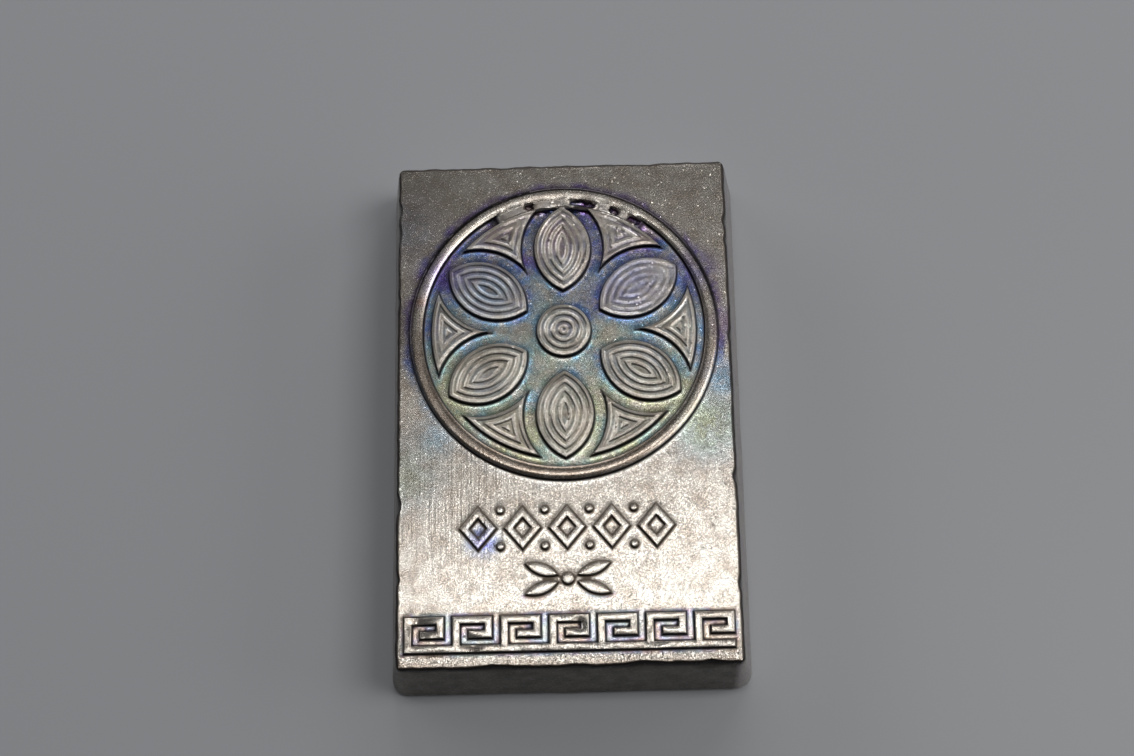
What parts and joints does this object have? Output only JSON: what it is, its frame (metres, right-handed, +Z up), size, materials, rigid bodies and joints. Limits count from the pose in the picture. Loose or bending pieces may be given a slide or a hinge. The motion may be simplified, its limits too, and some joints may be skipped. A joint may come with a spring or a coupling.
{
  "type": "cast bismuth bar",
  "caption": "Palm-sized poured bar of bismuth with drafted walls, a raised ring medallion and rows of raised ornament, lying flat as a weight or keepsake.",
  "frame": {"origin": "centre of the pour face, on the surface that the bar lies on", "axes": "+Z up through the relief face, +Y along the bar's length towards the medallion, +X across its width"},
  "size_m": [0.0502, 0.0762, 0.0134],
  "materials": {
    "bismuth": "cast, frosted warm grey metal with a thin oxide film of blue, violet, teal and straw around the medallion"
  },
  "bodies": {
    "root": {"cast_bar": "bismuth"}
  },
  "joints": []
}
